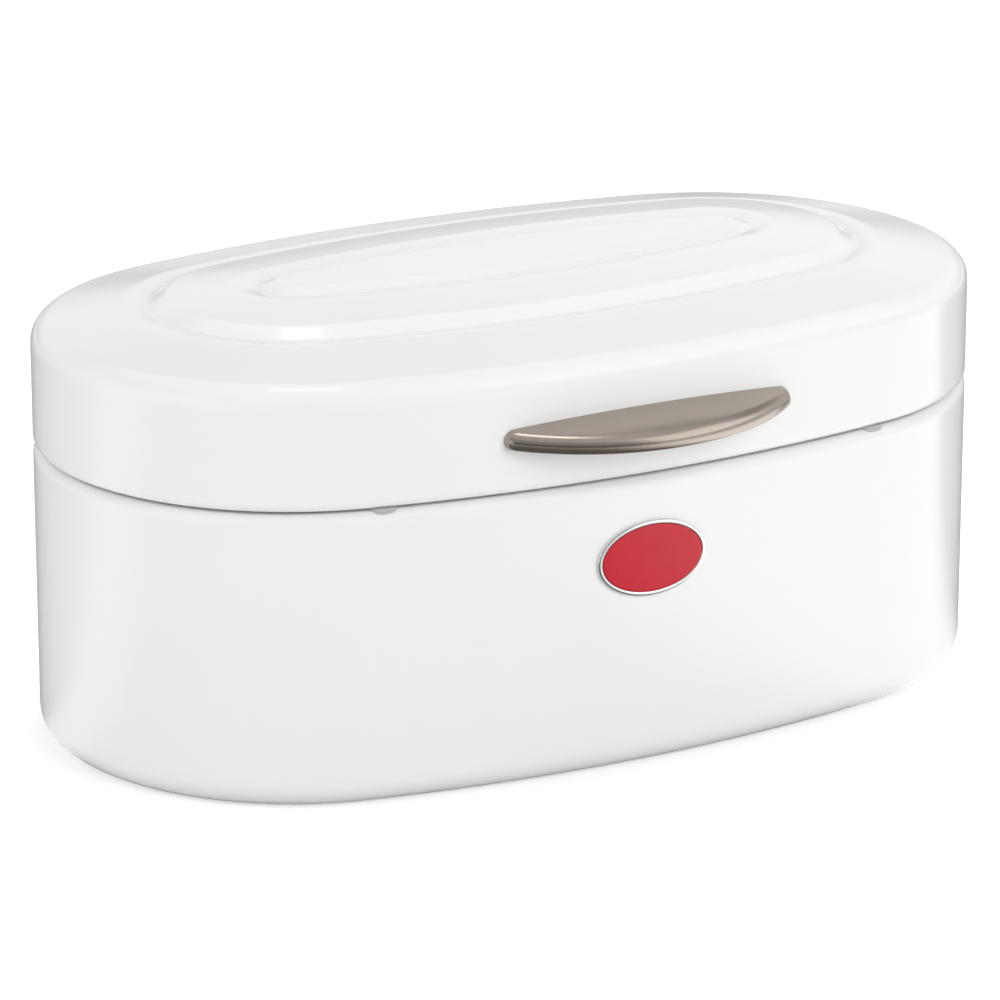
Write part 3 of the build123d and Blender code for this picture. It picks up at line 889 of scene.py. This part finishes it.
# %% [markdown]
# ## Rivets and screws
# Three rivets hold each leaf, and two screws hold the handle from inside the lid. All of them are
# turned pieces that repeat along a wall, which is work for Geometry Nodes: one tree takes the turned
# piece, sets out the places along the wall and turns each copy to stand square on it.


# %% The tree that sets out fasteners
def make_row_tree():
    sizes = {"Count": int, "Pitch": float, "Height": float, "Wall Radius": float,
             "Wall Centre": float, "Lean": float, "Side": float}
    tree, wire, given = new_tree("row_of_fasteners", sizes)
    line = wire.node("GeometryNodeMeshLine", {}, {"Count": given["Count"]})
    x = (wire.node("GeometryNodeInputIndex") - (given["Count"] - 1) / 2) * given["Pitch"]
    lean = x * given["Lean"] / given["Wall Radius"]
    depth = given["Wall Radius"] * wire.math("SQRT", 1 - lean * lean) - given["Wall Centre"]
    y = depth * given["Side"]
    spot = wire.node("ShaderNodeCombineXYZ", {}, {"X": x, "Y": y, "Z": given["Height"]})
    line = wire.node("GeometryNodeSetPosition", {}, {"Geometry": line, "Position": spot})
    turn = wire.node("ShaderNodeCombineXYZ", {}, {"Z": 0 - wire.math("ARCSINE", lean)})
    copies = wire.node("GeometryNodeInstanceOnPoints", {},
                       {"Points": line, "Instance": given["Geometry"], "Rotation": turn})
    end_tree(wire, copies, given["Material"])
    return tree


row_tree = make_row_tree()
print("made the tree", row_tree.name)
WALL = {"wall_radius": side_radius * MM, "wall_centre": side_centre * MM}


def set_out(name, mesh, material, **values):
    """Copies of a turned piece along the wall, as one piece."""
    one = finish_mesh(name + "_one", mesh, material)
    copies = run_tree(one, row_tree, material=material, **WALL, **values)
    bpy.data.objects.remove(one)
    return finish_mesh(name, copies, material)


# %% Rivets
rivet_count, rivet_pitch, rivet_rise = 3, 24.0, 9.7
rivet_profile = [(0, 2.5), (0.7, 2.42), (1.4, 2.19), (2.0, 1.86), (2.5, 1.48), (2.8, 1.22), (1.5, 1.22),
                 (1.5, -0.92), (2.3, -0.92), (2.5, -1.15), (2.45, -1.6), (1.9, -1.8), (0, -1.8)]
for name, body, node, height in (("rivets_on_body", "base", "hinge_body_rivets", hinge_z - rivet_rise),
                                 ("rivets_on_lid", "lid", "hinge_lid_rivets", hinge_z + rivet_rise)):
    rivets = set_out(name, turned(name, rivet_profile), rivet_metal, count=rivet_count,
                     pitch=rivet_pitch * MM, height=height * MM, lean=1.0, side=1.0)
    seat(rivets, body, "rivet_metal", node)

# %% [markdown]
# The screws have rounded heads with a cross recess, each on a nylon washer that spares the coat. The
# recess could be a bump in the shader, but a real cut also shows in the mesh. So a tree joins two
# crossed bars, as the driver's bit has them, and cuts them out of the head.


# %% The tree that cuts a cross recess
def make_recess_tree():
    sizes = {"Wide": float, "Slot": float, "Deep": float, "Face": float}
    tree, wire, given = new_tree("cross_recess", sizes)
    bars = []
    for across, up in ((given["Wide"], given["Slot"]), (given["Slot"], given["Wide"])):
        size = wire.node("ShaderNodeCombineXYZ", {}, {"X": across, "Y": 2 * given["Deep"], "Z": up})
        bars.append(wire.node("GeometryNodeMeshCube", {}, {"Size": size}))
    cross = wire.node("GeometryNodeMeshBoolean", {"operation": "UNION", "solver": "MANIFOLD"}, {})
    for bar in bars:
        wire.tree.links.new(bar.socket, cross.socket.node.inputs["Mesh 2"])
    place = wire.node("ShaderNodeCombineXYZ", {}, {"Y": given["Face"]})
    cross = wire.node("GeometryNodeTransform", {}, {"Geometry": cross, "Translation": place})
    cut = wire.node("GeometryNodeMeshBoolean", {"operation": "DIFFERENCE", "solver": "MANIFOLD"},
                    {"Mesh 1": given["Geometry"], "Mesh 2": cross})
    end_tree(wire, cut, given["Material"])
    return tree


# %% Screws
washer_depth, recess_wide, recess_slot, recess_deep = 1.5, 4.6, 1.1, 1.5
washer_face = wall_depth(screw_pitch / 2) - sheet - washer_depth
head_foot = width / 2 - washer_face
head_top = head_foot + 2.6
screw_profile = [(0, head_top), (1.6, head_foot + 2.55), (2.8, head_foot + 2.25),
                 (3.6, head_foot + 1.6), (3.95, head_foot + 0.8), (4, head_foot), (2, head_foot),
                 (2, -6.6), (1.6, -7), (0, -7)]
screw_one = finish_mesh("screw_one", turned("screw", screw_profile), zinc_steel)
screw_mesh = run_tree(screw_one, make_recess_tree(), material=zinc_steel, wide=recess_wide * MM,
                      slot=recess_slot * MM, deep=recess_deep * MM, face=head_top * MM)
bpy.data.objects.remove(screw_one)
screws = set_out("screws_of_handle", screw_mesh, zinc_steel, count=2, pitch=screw_pitch * MM,
                 height=screw_z * MM, lean=0.0, side=-1.0)
seat(screws, "lid", "zinc_steel", "handle_screws")

# %% [markdown]
# A washer is flat on the side of its screw, and its other side follows the swell of the wall, so that
# the screw pulls evenly on the thin sheet. That makes it no turned piece: its rings lie on the flat
# or on the wall. It is moulded from natural nylon, a little yellow, with a soft sheen.


# %% Washers
washer_radius, washer_bore = 6.0, 2.1


def make_nylon():
    material, shader, wire, place = start_material("washer_nylon", IOR=1.53)
    flow = noise(wire, place, 2.5, detail=2.0)
    feed(shader, "Base Color", tint(wire, flow, (0.70, 0.69, 0.65), (0.76, 0.75, 0.71)))
    feed(shader, "Roughness", 0.42 + 0.12 * flow)
    return material


def washer_ring(x, radius, back):
    """A ring of a washer: this far behind its face, or on the wall where back is nothing."""
    ring = []
    for k in range(48):
        spot = x + radius * math.cos(math.tau * k / 48)
        y = -wall_depth(spot) + sheet if back is None else -washer_face - back
        ring.append((spot, y, screw_z + radius * math.sin(math.tau * k / 48)))
    return ring


washer_nylon = make_nylon()
washer_meshes = []
for x in (-screw_pitch / 2, screw_pitch / 2):
    rows = [washer_ring(x, washer_bore, None), washer_ring(x, washer_radius, None),
            washer_ring(x, washer_radius, 0.35), washer_ring(x, washer_radius - 0.1, 0.1),
            washer_ring(x, washer_radius - 0.35, 0), washer_ring(x, washer_bore, 0)]
    washer_meshes.append(skin("washer", rows, loop=True))
washers = finish_mesh("washers_of_handle", joined("washers", washer_meshes), washer_nylon)
seat(washers, "lid", "washer_nylon", "handle_washers")

# %% [markdown]
# ## The floor
# The box stands on a white floor that runs out of sight, with a soft shadow where they meet. A plain
# diffuse white turns grey wherever the lamps don't reach, so the floor also glows a little for
# whoever looks at it, straight or in a mirror. The light's own bounces don't see that glow, which
# keeps the shadow. Far off, behind the lamps, it glows more and stays white from every side.


# %% Soft changes and axes
def soft_step(value, span, start, end):
    """A soft change from one level to another, while a value crosses a span."""
    return value.node("ShaderNodeMapRange", {"interpolation_type": "SMOOTHSTEP"},
                      {0: value, 1: span[0], 2: span[1], 3: start, 4: end})


def axes(place):
    """The three parts of a place or a direction."""
    return [place.node("ShaderNodeSeparateXYZ", {}, {0: place}, out=axis) for axis in "XYZ"]


def turn_from_front(x, y):
    """The turn from the front round to the right, in degrees."""
    return x.math("ARCTAN2", x, 0 - y) * (180 / math.pi)


# %% Floor
near_glow, far_glow, lamps_reach, floor_reach = 0.4, 0.6, (1.2, 2.0), 12.0


def make_floor_white():
    material = bpy.data.materials.new("floor_white")
    material.use_nodes = True
    tree = material.node_tree
    tree.nodes.clear()
    wire = Wire(tree)
    place = wire.node("ShaderNodeTexCoord", out="Object")
    colour = tint(wire, noise(wire, place, 400), (0.85, 0.85, 0.85), (0.86, 0.86, 0.86))
    straight, in_mirror, through = [wire.node("ShaderNodeLightPath", out=ray) for ray in (
        "Is Camera Ray", "Is Glossy Ray", "Is Transmission Ray")]
    seen = wire.math("MAXIMUM", straight, wire.math("MAXIMUM", in_mirror, through))
    away = wire.node("ShaderNodeVectorMath", {"operation": "LENGTH"}, {0: place}, out="Value")
    level = near_glow * seen + straight * soft_step(away, lamps_reach, 0.0, far_glow)
    diffuse = wire.node("ShaderNodeBsdfDiffuse", {}, {"Color": colour})
    glow = wire.node("ShaderNodeEmission", {}, {"Strength": level})
    both = wire.node("ShaderNodeAddShader", {}, {0: diffuse, 1: glow})
    tree.links.new(both.socket, tree.nodes.new("ShaderNodeOutputMaterial").inputs["Surface"])
    return material


floor_mesh = bpy.data.meshes.new("floor")
floor_corners = [(x * floor_reach, y * floor_reach, 0) for x, y in ((-1, -1), (1, -1), (1, 1), (-1, 1))]
floor_mesh.from_pydata(floor_corners, [], [(0, 1, 2, 3)])
floor_mesh.materials.append(make_floor_white())
floor = new_object("floor", floor_mesh)
print("floor of", 2 * floor_reach, "metres")

# %% [markdown]
# ## The room
# A glossy white piece shows the room around it, and the eye reads its shape from that. So the room
# has one level for plain light and another for what mirrors in the coat. Plain light comes from all
# round, and less from high up. In a mirror the room is bright low down and darker above, with a dark
# stretch in front for the left half of the handle, and a tall window on the right for the other half.

# %% Room
world = bpy.data.worlds.new("white_room")
bpy.context.scene.world = world
world.use_nodes = True
room = Wire(world.node_tree)
room_x, room_y, rise = axes(room.node("ShaderNodeTexCoord", out="Generated"))
around = turn_from_front(room_x, room_y)

plain_light = soft_step(rise, (0.32, 0.5), 1.0, 0.2)
walls = soft_step(rise, (0.33, 0.62), 0.85, 0.4)
ceiling = soft_step(rise, (0.64, 0.76), 0.0, 0.35)
dark_front = soft_step(around, (-75, -50), 0.0, 0.78) * soft_step(around, (8, 26), 1.0, 0.0)
dark_front = dark_front * soft_step(rise, (0.35, 0.5), 1.0, 0.0)
window = soft_step(around, (8, 24), 0.0, 1.0) * soft_step(around, (70, 90), 1.0, 0.0)
window = window * soft_step(rise, (0.25, 0.4), 0.0, 1.1) * soft_step(rise, (0.72, 0.85), 1.0, 0.0)

mirrored = room.node("ShaderNodeLightPath", out="Is Glossy Ray")
in_mirror = (walls + ceiling) * (1 - dark_front) + window
level = (1 - mirrored) * plain_light + mirrored * in_mirror
background = world.node_tree.nodes["Background"]
background.inputs["Color"].default_value = (1, 1, 1, 1)
feed(background, "Strength", level)
print("room of", len(world.node_tree.nodes), "nodes")

# %% [markdown]
# ## The lamps
# Three soft boxes light the piece: a large one in front, one by the left end, and a small one high up
# behind. A coat as glossy as this would show each of them as a hard streak, so they are hidden from
# mirrors, and the room drawn above takes their place there. Two faint panes straight above are the
# exception: they mirror in the crests of the crown and give its grooves their light edges.


# %% Soft boxes
def soft_box(name, turn, lift, away, size, watts, mirrored=False):
    """A soft lamp, turned round the box from its front and lifted, in degrees, looking at it."""
    turn, lift = math.radians(turn), math.radians(lift)
    aim = Vector((0, 0, 0.08))
    out = Vector((math.sin(turn) * math.cos(lift), -math.cos(turn) * math.cos(lift), math.sin(lift)))
    lamp = bpy.data.lights.new(name, "AREA")
    lamp.shape = "RECTANGLE"
    lamp.size, lamp.size_y = size
    lamp.energy = watts
    holder = new_object(name, lamp)
    holder.visible_glossy = mirrored
    holder.location = aim + out * away
    holder.rotation_euler = (-out).to_track_quat("-Z", "Y").to_euler()
    print(name, "of", watts, "watts at", [round(v, 2) for v in holder.location])


soft_box("key", 14, 27, 2.8, (2.2, 1.8), 34.5)
soft_box("left_side", -98, 16, 2.5, (2.0, 1.6), 22)
soft_box("overhead", 135, 62, 1.1, (0.9, 0.9), 6.1)
for turn in (61, -119):
    soft_box("pane", turn, 85.7, 2.2, (0.6, 0.27), 1.6, mirrored=True)

# %% [markdown]
# ## The grey card
# The white floor would mirror in the walls and wash them out, right down to where they meet it. A
# photographer lays grey card round a white piece to hold its edges. Here it is a disc on the floor
# with a strip that stands behind the box and mirrors in the crown, and only mirrors see it, so its
# grey is a painted dark reflection along the walls. The disc also glows, a painted reflection of
# light, in front to the right and beside the left end, where the walls are to shine. The strip glows
# at its foot, a painted reflection in the crown, and fades out at its top.

# %% Shape of the grey card
card_radius, card_lift, card_top = 1.6, 0.0004, 0.5
card_turns = [math.radians(turn) for turn in range(0, 360, 10)]
card_rim = [Vector((math.sin(turn), -math.cos(turn))) * card_radius for turn in card_turns]
card_points = [(0, 0, card_lift)]
card_points += [(*point, height) for height in (card_lift, card_top) for point in card_rim]
last = len(card_rim)
card_faces = [(0, k + 1, (k + 1) % last + 1) for k in range(last)]
card_faces += [(k + 1, k + 2, k + 2 + last, k + 1 + last) for k in range(10, 22)]
card_mesh = bpy.data.meshes.new("grey_card")
card_mesh.from_pydata(card_points, [], card_faces)
print("grey card of", len(card_faces), "faces")


# %% Finish of the grey card
def make_grey_card():
    material, shader, wire, place = start_material("grey_card", Roughness=1.0, Emission_Strength=1.5)
    x, y, height = axes(place)

    def patch(middle, rising, falling):
        """A glowing patch of painted reflected light between two turns, as seen from a point on the
        box's long axis.
        """
        turn = turn_from_front(x - middle, y)
        return soft_step(turn, rising, 0.0, 1.0) * soft_step(turn, falling, 1.0, 0.0)

    standing = wire.math("GREATER_THAN", height, 0.001)
    # Glowing patches that only mirrors see: painted reflections of light in the walls and the crown.
    right_front = patch(0.1, (-20, 20), (90, 110)) * soft_step(y, (-0.085, -0.015), 1.0, 0.0)
    left_end = 0.5 * patch(-0.1, (-128, -112), (-98, -82))
    foot = 0.3 * standing * soft_step(height, (0.09, 0.17), 1.0, 0.0)
    painted_reflection_glow = right_front + left_end + foot
    grey = wire.node("ShaderNodeCombineXYZ", {}, {axis: painted_reflection_glow for axis in "XYZ"})
    # The painted reflected light goes in as the card's emission colour, a glow though the card is no
    # lamp.
    feed(shader, "Emission Color", grey)
    feed(shader, "Base Color", tint(wire, standing, (0.18, 0.18, 0.18), (0.38, 0.38, 0.38)))
    feed(shader, "Alpha", soft_step(height, (0.26, 0.46), 1.0, 0.0))
    return material


card_mesh.materials.append(make_grey_card())
card = new_object("grey_card", card_mesh)
card.visible_camera = card.visible_diffuse = card.visible_shadow = card.visible_transmission = False

# %% [markdown]
# ## The camera
# A long lens from nearly two metres off keeps the upright edges almost parallel. Turn, tilt and
# distance come from fitting the box's outline and seam to those in the photograph. The picture is
# centred by moving the camera itself a few millimetres, so its lens needs no shift.

# %% Camera
yaw, pitch, away = 0.507, 0.3103, 1.87
middle_height, move_right, move_up = 0.0722, -0.00284, -0.00542
ahead = Vector((math.sin(yaw) * math.cos(pitch), math.cos(yaw) * math.cos(pitch), -math.sin(pitch)))
right = Vector((math.cos(yaw), -math.sin(yaw), 0))
above = right.cross(ahead)
centre = Vector((0, 0, middle_height)) + right * move_right + above * move_up
camera_data = bpy.data.cameras.new("camera")
camera_data.sensor_width = 36
camera_data.lens = 195.0
camera_data.clip_end = 50
camera = new_object("camera", camera_data)
camera.matrix_world = Matrix.Translation(centre - ahead * away) @ Matrix(
    (right, above, -ahead)).transposed().to_4x4()
bpy.context.scene.camera = camera
bpy.context.scene.view_settings.view_transform = "Standard"
print("camera at", [round(v, 3) for v in camera.matrix_world.translation])
